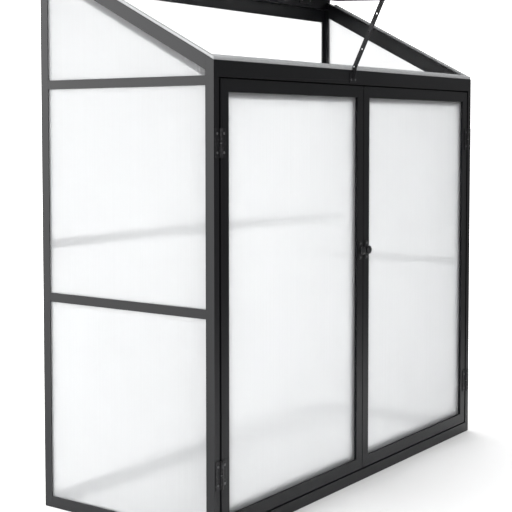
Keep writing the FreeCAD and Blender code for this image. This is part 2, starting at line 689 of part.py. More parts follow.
def cam(side):
    """A latch cam that hangs down when the door is free to open."""
    width, reach, thick = CAM
    x, y = knob_x(side), cam_front(side)
    r = width / 2
    plate = joined(rod(r, (x, y, KNOB_Z), (x, y + thick, KNOB_Z)),
                   block(x - r, x + r, y, y + thick, KNOB_Z - reach + r, KNOB_Z),
                   rod(r, (x, y, KNOB_Z - reach + r), (x, y + thick, KNOB_Z - reach + r)))
    return less(plate, rod(SPINDLE_R, (x, y - OVER, KNOB_Z), (x, y + thick + OVER, KNOB_Z)))


def spindle_hole(side):
    x = knob_x(side)
    return rod(SPINDLE_R + SPINDLE_GAP, (x, FRONT - OVER, KNOB_Z),
               (x, FRONT + DOOR_DEPTH + OVER, KNOB_Z))


# ---- lid -----------------------------------------------------------------------
# Lid pieces are drawn level, with the hinge axis through the origin and the
# lid toward -Y, then tilted to the rest angle and moved onto the axis.
LID_UNDER = -LID_HINGE_RISE
LID_TOP = LID_UNDER + LID_DEPTH
LID_HALF = HALF + LID_OVERHANG


def on_lid(shape):
    shape.rotate(FreeCAD.Vector(0, 0, 0), FreeCAD.Vector(1, 0, 0), LID_REST_TILT)
    shape.translate(FreeCAD.Vector(0, LID_AXIS_Y, LID_AXIS_Z))
    return shape


def lid_outline(width, shelf):
    """Lid extrusion: (distance from the outer edge, height)."""
    top, groove = LID_TOP - WALL, LID_TOP - WALL - GROOVE
    outline = [(0, LID_UNDER), (shelf, LID_UNDER), (shelf, LID_UNDER + WALL),
               (LID_BOX, LID_UNDER + WALL), (LID_BOX, groove - WALL), (width, groove - WALL),
               (width, groove), (LID_BOX, groove), (LID_BOX, top), (width, top),
               (width, LID_TOP), (0, LID_TOP)]
    return outline, rectangle(WALL, LID_UNDER + WALL, LID_BOX - WALL, top)


def lid_side_rail(side):
    outline, hollow = lid_outline(LID_SIDE, LID_SHELF)

    def place(points):
        return [(side * (LID_HALF - u), w) for u, w in points]
    return along_y(place(outline), -LID_REACH, -LID_REAR_GAP, [place(hollow)])


def lid_cross_rail(edge_y, direction, width, shelf, side_rails):
    outline, hollow = lid_outline(width, shelf)

    def place(points):
        return [(edge_y + direction * u, w) for u, w in points]
    bar = along_x(place(outline), -LID_HALF + LID_BOX, LID_HALF - LID_BOX, [place(hollow)])
    return less(bar, *side_rails)


def lid_sheet():
    edge = LID_BOX + SHEET_FIT
    x0, x1 = -LID_HALF + edge, LID_HALF - edge
    top = LID_TOP - WALL - SHEET_GAP
    cells = [rectangle(u0, top - SHEET + SKIN, u1, top - SKIN) for u0, u1 in flutes(x0, x1)]
    return along_y(rectangle(x0, top - SHEET, x1, top), -LID_REACH + edge,
                   -LID_REAR_GAP - edge, cells)


def lid_hinge_moving(centre):
    half = LID_HINGE_WIDTH / 2
    knuckle = LID_KNUCKLE / 2
    plate = block(centre - half, centre + half, -LID_REAR_GAP, -LID_HINGE_R - LID_HINGE_GAP,
                  LID_UNDER + LID_PLATE_INSET, LID_TOP - LID_PLATE_INSET)
    arm = block(centre - knuckle, centre + knuckle, -LID_REAR_GAP, 0, -LID_ARM / 2, LID_ARM / 2)
    barrel = rod(LID_HINGE_R, (centre - knuckle, 0, 0), (centre + knuckle, 0, 0))
    bore = rod(PIN_R + PIN_FIT, (centre - half, 0, 0), (centre + half, 0, 0))
    return less(joined(plate, arm, barrel), bore)


def lid_hinge_fixed(centre):
    """The leaf on the ridge rail, with a barrel each side of the lid's."""
    half = LID_HINGE_WIDTH / 2
    gap = LID_KNUCKLE / 2 + BARREL_GAP
    leaf = block(centre - half, centre + half, RIDGE_FRONT - LID_LEAF, RIDGE_FRONT,
                 LID_AXIS_Z - LID_LEAF_DROP, LID_AXIS_Z + LID_HINGE_R)
    room = rod(LID_HINGE_R + LID_HINGE_GAP, (centre - gap, LID_AXIS_Y, LID_AXIS_Z),
               (centre + gap, LID_AXIS_Y, LID_AXIS_Z))
    leaf = leaf.cut(room)
    barrels = [rod(LID_HINGE_R, (centre + s * gap, LID_AXIS_Y, LID_AXIS_Z),
                   (centre + s * half, LID_AXIS_Y, LID_AXIS_Z)) for s in (-1, 1)]
    bore = rod(PIN_R, (centre - half - OVER, LID_AXIS_Y, LID_AXIS_Z),
               (centre + half + OVER, LID_AXIS_Y, LID_AXIS_Z))
    return less(joined(leaf, *barrels), bore, *shanks(lid_hinge_screw_places(centre)))


def lid_hinge_pin(centre):
    half = LID_HINGE_WIDTH / 2 + LID_PIN_END
    return rod(PIN_R, (centre - half, LID_AXIS_Y, LID_AXIS_Z),
               (centre + half, LID_AXIS_Y, LID_AXIS_Z))


def stay_shoe():
    """A channel on the lid's front edge whose roof rests on the stay."""
    reach, cheek = SHOE
    roof = LID_UNDER - SHOE_DROP
    inner = STAY_THICK / 2 + STAY_SIDE_GAP
    outer = inner + WALL
    front, rear = -LID_REACH - reach, -LID_REACH
    back_plate = block(STAY_X - outer - SHOE_EAR, STAY_X + outer + SHOE_EAR, rear - WALL, rear,
                       roof, LID_TOP - LID_PLATE_INSET)
    roof_plate = block(STAY_X - outer, STAY_X + outer, front, rear, roof, roof + WALL)
    cheeks = [block(STAY_X + min(s * inner, s * outer), STAY_X + max(s * inner, s * outer),
                    front, rear - WALL, roof - cheek, roof + WALL) for s in (-1, 1)]
    return joined(back_plate, roof_plate, *cheeks)


def stay_relief():
    """Cuts the lid's front rail where it comes down over the stay's bracket."""
    width, length = STAY_RELIEF
    start = -LID_REACH + 2 * WALL
    return block(STAY_X - width / 2, STAY_X + width / 2, start, start + length,
                 LID_UNDER - OVER, LID_UNDER + LID_DEPTH / 2)


# ---- stay ----------------------------------------------------------------------
def stay_tip_centre():
    """Centre of the stay's round tip, just under the shoe's roof, in the world."""
    tilt = math.radians(LID_REST_TILT)
    y = -LID_REACH - SHOE_CENTRE
    z = LID_UNDER - SHOE_DROP - STAY_TIP_GAP - STAY_WIDTH / 2
    return (LID_AXIS_Y + y * math.cos(tilt) - z * math.sin(tilt),
            LID_AXIS_Z + y * math.sin(tilt) + z * math.cos(tilt))


def stay():
    """A flat bar with an eye at its foot, a row of holes and a round tip."""
    r = STAY_WIDTH / 2
    foot_y, foot_z = STAY_FOOT
    tip_y, tip_z = stay_tip_centre()
    lean = math.atan2(foot_y - tip_y, tip_z - foot_z)
    length = math.hypot(tip_y - foot_y, tip_z - foot_z)
    x0, x1 = STAY_X - STAY_THICK / 2, STAY_X + STAY_THICK / 2
    bar = joined(block(x0, x1, -r, r, 0, length), rod(r, (x0, 0, 0), (x1, 0, 0)),
                 rod(r, (x0, 0, length), (x1, 0, length)))
    eye = rod(STAY_PIN_R + PIN_FIT, (x0 - OVER, 0, 0), (x1 + OVER, 0, 0))
    heights = [length * (i + 1) / (STAY_HOLES + 1) for i in range(STAY_HOLES)]
    holes = [rod(STAY_HOLE_R, (x0 - OVER, 0, h), (x1 + OVER, 0, h)) for h in heights]
    bar = less(bar, eye, *holes)
    bar.rotate(FreeCAD.Vector(0, 0, 0), FreeCAD.Vector(1, 0, 0), math.degrees(lean))
    bar.translate(FreeCAD.Vector(0, foot_y, foot_z))
    return bar


def stay_bracket_screws():
    across, rise = BRACKET_SCREW
    return [((STAY_X + dx, FRONT - WALL, HEADER_Z + rise), (0, 1, 0), SCREW_SHORT)
            for dx in (-across, across)]


def stay_bracket():
    """A plate on the header's face with two ears that hold the stay's foot."""
    foot_y, foot_z = STAY_FOOT
    inner = STAY_THICK / 2 + STAY_SIDE_GAP
    outer = inner + WALL
    below, above = BRACKET_EDGE
    base = block(STAY_X - BRACKET_HALF, STAY_X + BRACKET_HALF, FRONT - WALL, FRONT,
                 HEADER_Z + below, FRONT_HEIGHT - above)
    r = STAY_EAR_R
    ears = []
    for _, side in SIDES:
        x0, x1 = sorted((STAY_X + side * inner, STAY_X + side * outer))
        web = along_x([(FRONT - WALL, HEADER_Z + EAR_ROOT), (FRONT - WALL, foot_z - EAR_ROOT),
                       (foot_y + r, foot_z), (foot_y - r, foot_z)], x0, x1)
        ears.append(joined(web, rod(r, (x0, foot_y, foot_z), (x1, foot_y, foot_z))))
    plate = joined(base, *ears)
    hole = rod(STAY_PIN_R, (STAY_X - outer - OVER, foot_y, foot_z),
               (STAY_X + outer + OVER, foot_y, foot_z))
    return less(plate, hole, *shanks(stay_bracket_screws()))


def stay_pin():
    foot_y, foot_z = STAY_FOOT
    reach = STAY_THICK / 2 + STAY_SIDE_GAP + WALL + STAY_PIN_END
    return rod(STAY_PIN_R, (STAY_X - reach, foot_y, foot_z), (STAY_X + reach, foot_y, foot_z))


# ---- put together --------------------------------------------------------------
front_posts = [front_post(side) for _, side in SIDES]
for (word, side), post in zip(SIDES, front_posts):
    keep("front_%s_post" % word, post)
    keep("back_%s_post" % word, back_post(side))
    keep("%s_bottom_rail" % word, side_bottom_rail(side))
    keep("%s_middle_rail" % word, side_rail(side, SIDE_MIDDLE_Z))
    keep("%s_upper_rail" % word, side_rail(side, SIDE_UPPER_Z))
    keep("%s_slope_rail" % word, slope_rail(side))
    for place, outline in side_sheets(side).items():
        keep("%s_%s_panel" % (word, place), side_sheet(side, outline))

keep("front_sill", front_sill(front_posts))
keep("front_header", front_header(front_posts))
keep("back_bottom_rail", back_bottom_rail())
keep("back_middle_rail", back_middle_rail())
keep("back_top_rail", back_top_rail())
keep("ridge_rail", ridge_rail())
back_web = BACK_MIDDLE_Z + RAIL / 2
keep("back_lower_panel", back_sheet(WALL + SEAT + SHEET_FIT, back_web - WALL / 2 - SHEET_FIT))
keep("back_upper_panel", back_sheet(back_web + WALL / 2 + SHEET_FIT,
                                    RIDGE_Z - TOP_RAIL + SEAT + WALL - SHEET_FIT))
keep("weather_seals", *weather_seals())
keep("door_catches", *catches())

frame_screws = []
for word, side in SIDES:
    for centre in HINGE_CENTRES:
        frame_screws += hinge_screw_places(side, centre, on_door=False)
for centre in LID_HINGE_X:
    frame_screws += lid_hinge_screw_places(centre)
frame_screws += stay_bracket_screws()
keep("frame_screws", *[screw(*place) for place in frame_screws])

keep("post_hinge_leaves", *[hinge_leaf(side, centre, False)
                            for _, side in SIDES for centre in HINGE_CENTRES])
keep("door_hinge_pins", *[hinge_pin(side, centre)
                          for _, side in SIDES for centre in HINGE_CENTRES])

for word, side in SIDES:
    hinge_stile, meeting_stile, bottom, top = door_frame(side)
    door_screws = knob_screw_places(side)
    for centre in HINGE_CENTRES:
        door_screws += hinge_screw_places(side, centre, on_door=True)
    keep("%s_door_hinge_stile" % word, less(hinge_stile, *shanks(door_screws)))
    keep("%s_door_meeting_stile" % word,
         less(meeting_stile, spindle_hole(side), *shanks(door_screws)))
    keep("%s_door_rails" % word, bottom, top)
    keep("%s_door_panel" % word, door_sheet(side))
    keep("%s_door_hinge_leaves" % word, *[hinge_leaf(side, centre, True)
                                          for centre in HINGE_CENTRES])
    keep("%s_door_screws" % word, *[screw(*place) for place in door_screws])
    keep("%s_knob_plate" % word, knob_plate(side))
    keep("%s_knob" % word, knob(side))
    keep("%s_cam" % word, cam(side))

lid_sides = [lid_side_rail(side) for _, side in SIDES]
lid_front = less(lid_cross_rail(-LID_REACH, 1, LID_FRONT, LID_FRONT, lid_sides), stay_relief())
lid_rear = lid_cross_rail(-LID_REAR_GAP, -1, LID_SIDE, LID_SHELF, lid_sides)
keep("lid_side_rails", *[on_lid(rail) for rail in lid_sides])
keep("lid_front_rail", on_lid(lid_front))
keep("lid_rear_rail", on_lid(lid_rear))
keep("lid_panel", on_lid(lid_sheet()))
keep("lid_hinge_moving_leaves", *[on_lid(lid_hinge_moving(x)) for x in LID_HINGE_X])
keep("lid_hinge_fixed_leaves", *[lid_hinge_fixed(x) for x in LID_HINGE_X])
keep("lid_hinge_pins", *[lid_hinge_pin(x) for x in LID_HINGE_X])
keep("stay_shoe", on_lid(stay_shoe()))
keep("stay", stay())
keep("stay_bracket", stay_bracket())
keep("stay_pin", stay_pin())

os.makedirs("parts", exist_ok=True)
for name, solids in nodes.items():
    shape = solids[0] if len(solids) == 1 else Part.makeCompound(solids)
    shape.exportStep("parts/%s.step" % name)
    print("%-28s solids %d valid %s volume %.1f cm3" % (
        name, len(shape.Solids), shape.isValid(), shape.Volume / 1000))
print("nodes", len(nodes))
print("door hinge axis x %.2f y %.2f" % (from_side(1, HINGE_AXIS_IN), FRONT - HINGE_AXIS_OUT))
print("lid axis y %.3f z %.3f" % (LID_AXIS_Y, LID_AXIS_Z))
print("lid closing angle %.3f" % (SLOPE - LID_REST_TILT))
print("stay foot y %.3f z %.3f tip %s" % (STAY_FOOT + (stay_tip_centre(),)))
print("knob x %.2f" % knob_x(1))
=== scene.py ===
# %% [markdown]
# A lean-to cold frame in Blender.
# The object is a glazed box of powder-coated aluminium bars. It has two front doors on lift-off hinges
# and a roof lid that a flat stay holds open. The CAD model already holds every bar at its true size.
# So this lesson keeps those bars as they are, gives each one a worked finish, and rebuilds what repeats:
# the ribbed twin-wall sheets, the cross-head screws and the grip ridges of the door knobs.

# %% Load the CAD frame
import json
import math

import bpy
from mathutils import Matrix, Vector


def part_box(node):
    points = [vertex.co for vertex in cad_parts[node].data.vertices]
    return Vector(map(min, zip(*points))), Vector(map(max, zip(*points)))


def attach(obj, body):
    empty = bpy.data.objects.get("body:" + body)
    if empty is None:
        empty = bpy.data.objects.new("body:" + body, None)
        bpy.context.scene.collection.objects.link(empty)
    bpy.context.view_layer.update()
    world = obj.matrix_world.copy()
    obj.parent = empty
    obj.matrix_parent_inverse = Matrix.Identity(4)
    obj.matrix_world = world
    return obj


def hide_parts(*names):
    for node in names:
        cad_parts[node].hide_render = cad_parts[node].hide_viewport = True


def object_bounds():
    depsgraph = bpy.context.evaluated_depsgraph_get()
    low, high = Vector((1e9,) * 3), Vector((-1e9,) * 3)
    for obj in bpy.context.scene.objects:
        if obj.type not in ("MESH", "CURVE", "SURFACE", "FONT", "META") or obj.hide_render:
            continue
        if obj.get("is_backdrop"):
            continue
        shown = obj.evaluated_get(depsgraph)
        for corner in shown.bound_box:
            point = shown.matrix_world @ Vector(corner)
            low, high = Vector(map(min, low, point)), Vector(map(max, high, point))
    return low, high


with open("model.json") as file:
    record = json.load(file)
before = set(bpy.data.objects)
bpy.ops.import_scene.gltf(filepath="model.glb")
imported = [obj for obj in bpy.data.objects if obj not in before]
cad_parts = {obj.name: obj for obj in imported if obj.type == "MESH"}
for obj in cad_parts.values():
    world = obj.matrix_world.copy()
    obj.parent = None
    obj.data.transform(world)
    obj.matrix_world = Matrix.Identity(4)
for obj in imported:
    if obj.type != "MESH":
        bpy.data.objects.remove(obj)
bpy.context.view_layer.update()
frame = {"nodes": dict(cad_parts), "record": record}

# %% [markdown]
# Which body carries each CAD part.
# A new piece has to move with the same body as the part it stands for: a door screw swings with its door.
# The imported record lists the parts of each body, so the answer is looked up and never typed twice.

# %% Find the body of any part
BODY_OF = {part: body for body, parts in frame["record"]["behaviour"]["bodies"].items() for part in parts}

# %% [markdown]
# Writing node trees as sums.
# A material or a Geometry Nodes tree is a web of sockets, and wiring each one by hand hides the idea.
# The class Wire wraps one socket, so that a + b or 1 - mask adds the Math node that does it.
# The class Web makes any other node from its type, its settings and its inputs, in one call.
# The same two classes serve materials and geometry, because both kinds of tree work alike.

# %% Wires for sums on sockets
class Wire:
    """A socket that takes part in ordinary sums. Each sum adds one Math node."""

    def __init__(self, web, socket):
        self.web, self.socket = web, socket

    def math(self, operation, first, second=0.0):
        return self.web.node("ShaderNodeMath", {0: first, 1: second}, operation=operation).wire()

    def __add__(self, other):
        return self.math("ADD", self, other)

    def __radd__(self, other):
        return self.math("ADD", other, self)

    def __sub__(self, other):
        return self.math("SUBTRACT", self, other)

    def __rsub__(self, other):
        return self.math("SUBTRACT", other, self)

    def __mul__(self, other):
        return self.math("MULTIPLY", self, other)

    def __rmul__(self, other):
        return self.math("MULTIPLY", other, self)

    def __truediv__(self, other):
        return self.math("DIVIDE", self, other)

    def __pow__(self, other):
        return self.math("POWER", self, other)

    def clipped(self):
        """The same number, kept from 0 to 1."""
        return self.web.node("ShaderNodeClamp", {"Value": self}).wire()


# %% Nodes in one call
def find_socket(sockets, wanted):
    """The socket with this identifier, name or number."""
    found = [s for s in sockets if wanted in (s.identifier, s.name)]
    return found[0] if found else sockets[wanted]


class Made:
    """A node that was just made, and its outputs as wires."""

    def __init__(self, web, node):
        self.web, self.node = web, node

    def wire(self, output=0):
        return Wire(self.web, find_socket(self.node.outputs, output))


class Web:
    """A node tree that takes a node's type, its inputs and its settings in one call."""

    def __init__(self, tree):
        self.tree = tree

    def node(self, kind, inputs=None, **settings):
        node = self.tree.nodes.new(kind)
        for name, value in settings.items():
            setattr(node, name, value)
        for name, value in (inputs or {}).items():
            socket = find_socket(node.inputs, name)
            if isinstance(value, Wire):
                self.tree.links.new(value.socket, socket)
            else:
                socket.default_value = value
        return Made(self, node)


print("wires and webs are ready")

# %% [markdown]
# Starting a material.
# Every finish here begins the same way: an empty tree, the point on the object in metres, and some noise.
# Object coordinates are used throughout. Each piece sits at the origin, so a grain runs on from one bar
# to the next at its true size, and it doesn't slide when a door swings.

# %% Material helpers
def start_material(name):
    """An empty material, its web and the Object coordinates."""
    material = bpy.data.materials.new(name)
    material.use_nodes = True
    material.node_tree.nodes.clear()
    web = Web(material.node_tree)
    return material, web, web.node("ShaderNodeTexCoord").wire("Object")


def stretched(web, point, scale):
    """The point with each axis scaled, which draws a pattern out along the small ones."""
    return web.node("ShaderNodeMapping", {"Vector": point, "Scale": scale}).wire()


def noise(web, point, scale, detail=2.0, rough=0.5):
    return web.node("ShaderNodeTexNoise", {"Vector": point, "Scale": scale, "Detail": detail,
                                           "Roughness": rough}).wire("Fac")


def blend(web, factor, dark, light):
    """A colour between two colours."""
    return web.node("ShaderNodeMix", {"Factor_Float": factor, "A_Color": (*dark, 1.0),
                                      "B_Color": (*light, 1.0)}, data_type="RGBA").wire("Result_Color")


def bump(web, height, strength, distance):
    return web.node("ShaderNodeBump", {"Height": height, "Strength": strength,
                                       "Distance": distance}).wire("Normal")


def finish_material(web, surface):
    web.node("ShaderNodeOutputMaterial", {"Surface": surface})


# %% [markdown]
# Powder coat.
# The bars are baked with a satin anthracite powder. Powder melts into a skin with a faint orange-peel
# ripple about a millimetre and a half across, so light breaks up softly instead of mirroring.
# A fine noise drives that ripple through a Bump node, and a slow one makes some areas a little glossier.
# Near the ground a height mask makes the coat a touch lighter in patches, which is painted bounce light from
# the floor, and a touch rougher, like dust.
# A plain colour would be quicker to make, and would look like card.

# %% Build the powder coat
def powder_coat(name, dark, light, gloss):
    material, web, point = start_material(name)
    slow = noise(web, point, 5.0, detail=3.0)
    peel = noise(web, point, 620.0, detail=2.0)
    grain = noise(web, point, 2600.0, detail=1.0)
    height = web.node("ShaderNodeSeparateXYZ", {"Vector": point}).wire("Z")
    # painted bounce light: near the ground the colour is lightened where light from the floor falls, and the
    # same mask makes the coat rougher, like dust
    floor_bounce_and_dust = ((0.16 - height) * 4.0).clipped() * noise(web, point, 38.0, detail=4.0, rough=0.62)
    tone = (slow * 0.55 + grain * 0.25 + floor_bounce_and_dust * 0.9).clipped()
    surface = web.node("ShaderNodeBsdfPrincipled", {
        "Base Color": blend(web, tone, dark, light),
        "Roughness": (gloss + slow * 0.10 + peel * 0.06 + floor_bounce_and_dust * 0.2).clipped(),
        "Normal": bump(web, peel * 0.7 + grain * 0.3, 0.16, 0.0004),
        "Specular IOR Level": 0.26,
    }).wire("BSDF")
    finish_material(web, surface)
    return material


FRAME_COAT = powder_coat("anthracite_powder_coat", (0.0030, 0.0031, 0.0037), (0.0090, 0.0093, 0.0110),
                         gloss=0.26)
STAY_COAT = powder_coat("black_stay_coat", (0.005, 0.005, 0.006), (0.014, 0.014, 0.015), gloss=0.30)
print("made", FRAME_COAT.name, "and", STAY_COAT.name)

# %% [markdown]
# Dressing the CAD bars.
# Each bar keeps its CAD mesh and gets the new finish in its material slot.
# A CAD bar has knife edges, and real extrusions are broken by a few tenths of a millimetre, which is
# where metal catches the light. Weld joins the loose triangles and Bevel rounds the sharp edges.
# Both are live modifiers, so the CAD mesh itself stays untouched.

# %% Coat and round the bars
BAR_ENDINGS = ("_post", "_rail", "_rails", "_sill", "_header", "_stile")
BAR_EDGE = 0.0004
THIN_EDGE = 0.0003
SAME_POINT = 0.00001
SHARP_ANGLE = math.radians(40)


def dress(part, material, edge=None):
    """A CAD part gets a finish and, if edge is given, rounded edges of that size in metres."""
    piece = frame["nodes"][part]
    piece.data.materials.clear()
    piece.data.materials.append(material)
    if edge:
        weld = piece.modifiers.new("join_triangles", "WELD")
        weld.merge_threshold = SAME_POINT
        bevel = piece.modifiers.new("break_edges", "BEVEL")
        bevel.width, bevel.segments = edge, 2
        bevel.limit_method, bevel.angle_limit = "ANGLE", SHARP_ANGLE
    return piece


BARS = [part for part in BODY_OF if part.endswith(BAR_ENDINGS)]
for part in BARS:
    dress(part, FRAME_COAT, edge=BAR_EDGE)
for part in ("stay", "stay_bracket", "stay_shoe"):
    dress(part, STAY_COAT, edge=THIN_EDGE)
print(len(BARS), "bars coated, and the stay with its bracket and shoe")

# %% [markdown]
# Hinge and pin metal.
# The door hinges are black too, yet of rolled steel, so their skin is thinner and shinier than the powder.
# Handling has rubbed it: a coarse noise, sharpened by a power, lets bare metal show in small flecks.
# Pins are turned and zinc plated. The door pins stand upright, and the fine rings round them come from a
# noise that changes fast along Z and slowly across. Screws use the same recipe in blackened tones, with
# marks that run no special way.

# %% Build the hinge steel and the plated steel
def worn_black_steel():
    material, web, point = start_material("worn_black_steel")
    flecks = (noise(web, point, 210.0, detail=5.0, rough=0.65) ** 9.0 * 14.0).clipped()
    fine = noise(web, point, 1500.0, detail=2.0)
    surface = web.node("ShaderNodeBsdfPrincipled", {
        "Base Color": blend(web, flecks, (0.004, 0.004, 0.005), (0.14, 0.14, 0.145)),
        "Metallic": flecks * 0.9,
        "Specular IOR Level": 0.30,
        "Roughness": (0.36 + fine * 0.10 - flecks * 0.06).clipped(),
        "Normal": bump(web, fine - flecks * 0.4, 0.12, 0.0002),
    }).wire("BSDF")
    finish_material(web, surface)
    return material


def plated_steel(name, dark, light, rings):
    """Metal under a thin plating: rings is the scale of the turning marks along each axis."""
    material, web, point = start_material(name)
    marks = noise(web, stretched(web, point, rings), 1.0, detail=3.0)
    bloom = noise(web, point, 420.0, detail=4.0, rough=0.6)
    surface = web.node("ShaderNodeBsdfPrincipled", {
        "Base Color": blend(web, bloom, dark, light),
        "Metallic": 1.0,
        "Roughness": (0.22 + bloom * 0.18 + marks * 0.08).clipped(),
        "Normal": bump(web, marks, 0.2, 0.0001),
    }).wire("BSDF")
    finish_material(web, surface)
    return material


HINGE_STEEL = worn_black_steel()
PIN_STEEL = plated_steel("plated_pin_steel", (0.42, 0.43, 0.44), (0.62, 0.63, 0.64),
                         rings=(300.0, 300.0, 2400.0))
SCREW_STEEL = plated_steel("blackened_screw_steel", (0.09, 0.09, 0.095), (0.24, 0.24, 0.245),
                           rings=(900.0, 900.0, 900.0))
for part in BODY_OF:
    if part.endswith(("_leaves", "_cam")):
        dress(part, HINGE_STEEL, edge=THIN_EDGE)
    if part.endswith(("_pins", "_pin")):
        dress(part, PIN_STEEL)
print("made", HINGE_STEEL.name, PIN_STEEL.name, SCREW_STEEL.name)

# %% [markdown]
# Seals and catches.
# A strip of closed-cell foam lies on the roof line, and the lid presses on it. Foam is pale grey, quite
# matt, and full of tiny pits, which a Voronoi texture gives at about one millimetre.
# The magnet catches and the knob plates are moulded plastic with a spark-eroded grain, the plates glossier.

# %% Build the foam and the moulded plastic
FOAM_EDGE = 0.0012
CATCH_EDGE = 0.0008


def foam(name):
    material, web, point = start_material(name)
    pits = web.node("ShaderNodeTexVoronoi", {"Vector": point, "Scale": 900.0}).wire("Distance")
    cloud = noise(web, point, 60.0, detail=4.0)
    tone = (pits * 0.6 + cloud * 0.5).clipped()
    surface = web.node("ShaderNodeBsdfPrincipled", {
        "Base Color": blend(web, tone, (0.25, 0.255, 0.26), (0.48, 0.485, 0.49)),
        "Roughness": (0.82 + cloud * 0.12).clipped(),
        "Normal": bump(web, pits, 0.5, 0.0005),
    }).wire("BSDF")
    finish_material(web, surface)
    return material


def moulded(name, dark, light, gloss):
    material, web, point = start_material(name)
    spark = noise(web, point, 1700.0, detail=3.0, rough=0.6)
    flow = noise(web, point, 45.0, detail=2.0)
    surface = web.node("ShaderNodeBsdfPrincipled", {
        "Base Color": blend(web, flow, dark, light),
        "Roughness": (gloss + spark * 0.14 + flow * 0.05).clipped(),
        "Normal": bump(web, spark, 0.22, 0.0003),
    }).wire("BSDF")
    finish_material(web, surface)
    return material


SEAL_FOAM = foam("grey_seal_foam")
CATCH_PLASTIC = moulded("catch_plastic_grain", (0.022, 0.022, 0.024), (0.036, 0.036, 0.039), gloss=0.48)
KNOB_PLASTIC = moulded("knob_plastic_grain", (0.004, 0.004, 0.005), (0.010, 0.010, 0.011), gloss=0.24)
dress("weather_seals", SEAL_FOAM, edge=FOAM_EDGE)
dress("door_catches", CATCH_PLASTIC, edge=CATCH_EDGE)
for side in ("left", "right"):
    dress(side + "_knob_plate", KNOB_PLASTIC, edge=THIN_EDGE)
print("made", SEAL_FOAM.name, CATCH_PLASTIC.name, KNOB_PLASTIC.name)

# %% [markdown]
# Milky twin-wall sheet.
# The glazing is extruded polycarbonate: two thin skins with webs between them, about a centimetre apart.
# It lets most light through and scatters nearly all of it. A bar that touches the back of a sheet shows
# as a soft grey strip, while one half a metre behind is only a faint band.
# The webs bend light sideways, so an upright post far behind is smeared away while a level rail stays.
# A plain alpha would show all of them alike. So the shader is a blend of three things: a glossy white
# skin, a Translucent part that glows with light from behind, and a clear part. Most of the clear part is
# weak glass with lines across it, which does the sideways smearing.
# The faces inside the cells are nearly clear, so that each skin is counted once.

# %% Build the sheet finishes
def milky_skin(name, across, clear):
    """Outer skin: across is the axis that the webs step along, and clear the share that shows through."""
    material, web, point = start_material(name)
    drawn = [0.6, 0.6, 0.6]
    drawn[across] = 900.0
    lines = noise(web, stretched(web, point, drawn), 1.0, detail=2.0)
    haze = noise(web, point, 3.2, detail=3.0)
    tone = (haze * 0.6 + lines * 0.4).clipped()
    skin = web.node("ShaderNodeBsdfPrincipled", {
        "Base Color": blend(web, tone, (0.44, 0.445, 0.45), (0.52, 0.525, 0.53)),
        "Roughness": (0.30 + lines * 0.08 + haze * 0.06).clipped(),
        "Normal": bump(web, lines, 0.10, 0.0002),
        "IOR": 1.45,
    }).wire("BSDF")
    glow = web.node("ShaderNodeBsdfTranslucent", {"Color": (0.95, 0.955, 0.96, 1.0)}).wire("BSDF")
    body = web.node("ShaderNodeMixShader", {"Fac": 0.76, 1: skin, 2: glow}).wire()
    bent = web.node("ShaderNodeBsdfGlass", {"Roughness": 0.03, "IOR": 1.06,
                                            "Normal": bump(web, lines, 1.0, 0.0010)}).wire()
    straight = web.node("ShaderNodeBsdfTransparent").wire()
    open_part = web.node("ShaderNodeMixShader", {"Fac": 0.25, 1: bent, 2: straight}).wire()
    amount = (clear - 0.06 + haze * 0.08 + lines * 0.04).clipped()
    finish_material(web, web.node("ShaderNodeMixShader", {"Fac": amount, 1: body, 2: open_part}).wire())
    return material


def clear_cell(name):
    """The faces inside the cells, which only veil what is behind them a little."""
    material, web, point = start_material(name)
    veil = 0.90 + noise(web, point, 40.0, detail=2.0) * 0.06
    glow = web.node("ShaderNodeBsdfTranslucent", {"Color": (0.96, 0.965, 0.97, 1.0)}).wire("BSDF")
    open_part = web.node("ShaderNodeBsdfTransparent").wire()
    finish_material(web, web.node("ShaderNodeMixShader", {"Fac": veil, 1: glow, 2: open_part}).wire())
    return material


SIDE_SKIN = milky_skin("milky_sheet_sides", across=1, clear=0.48)
FRONT_SKIN = milky_skin("milky_sheet_front", across=0, clear=0.50)
CELL_SKIN = clear_cell("milky_sheet_cells")
print("made", SIDE_SKIN.name, FRONT_SKIN.name, CELL_SKIN.name)

# %% [markdown]
# Growing a sheet with Geometry Nodes.
# A sheet follows a rule: any outline, a thickness, and a web at every pitch. The tree takes the outline as
# one flat face, raises it to the sheet's thickness, and cuts a row of cells out of it with one boolean.
# Drawing eleven sheets by hand would take hundreds of edges, and a change of pitch would undo them.
# Here a new pitch is one number, and the gable's slanted top trims its cells by itself.

# %% A geometry tree with named inputs
SOCKETS = {"float": "NodeSocketFloat", "int": "NodeSocketInt", "material": "NodeSocketMaterial",
           "geometry": "NodeSocketGeometry"}


def start_geometry(name, inputs):
    """A Geometry Nodes tree with the named inputs, its web and its input node."""
    tree = bpy.data.node_groups.new(name, "GeometryNodeTree")
    tree.interface.new_socket("Geometry", in_out="INPUT", socket_type=SOCKETS["geometry"])
    tree.interface.new_socket("Geometry", in_out="OUTPUT", socket_type=SOCKETS["geometry"])
    for label, kind in inputs.items():
        tree.interface.new_socket(label, in_out="INPUT", socket_type=SOCKETS[kind])
    web = Web(tree)
    return tree, web, web.node("NodeGroupInput")


def finish_geometry(web, shape, material, inner=None):
    """Real geometry, its material, and the tree's output."""
    solid = web.node("GeometryNodeRealizeInstances", {"Geometry": shape}).wire()
    painted = web.node("GeometryNodeSetMaterial", {"Geometry": solid, "Material": material}).wire()
    if inner:
        where, lining = inner
        painted = web.node("GeometryNodeSetMaterial", {"Geometry": painted, "Selection": where,
                                                       "Material": lining}).wire()
    web.node("NodeGroupOutput", {"Geometry": painted})


def xyz(web, x=0.0, y=0.0, z=0.0):
    return web.node("ShaderNodeCombineXYZ", {"X": x, "Y": y, "Z": z}).wire()


# %% The twin-wall tree
FLAT_ENOUGH = 0.5


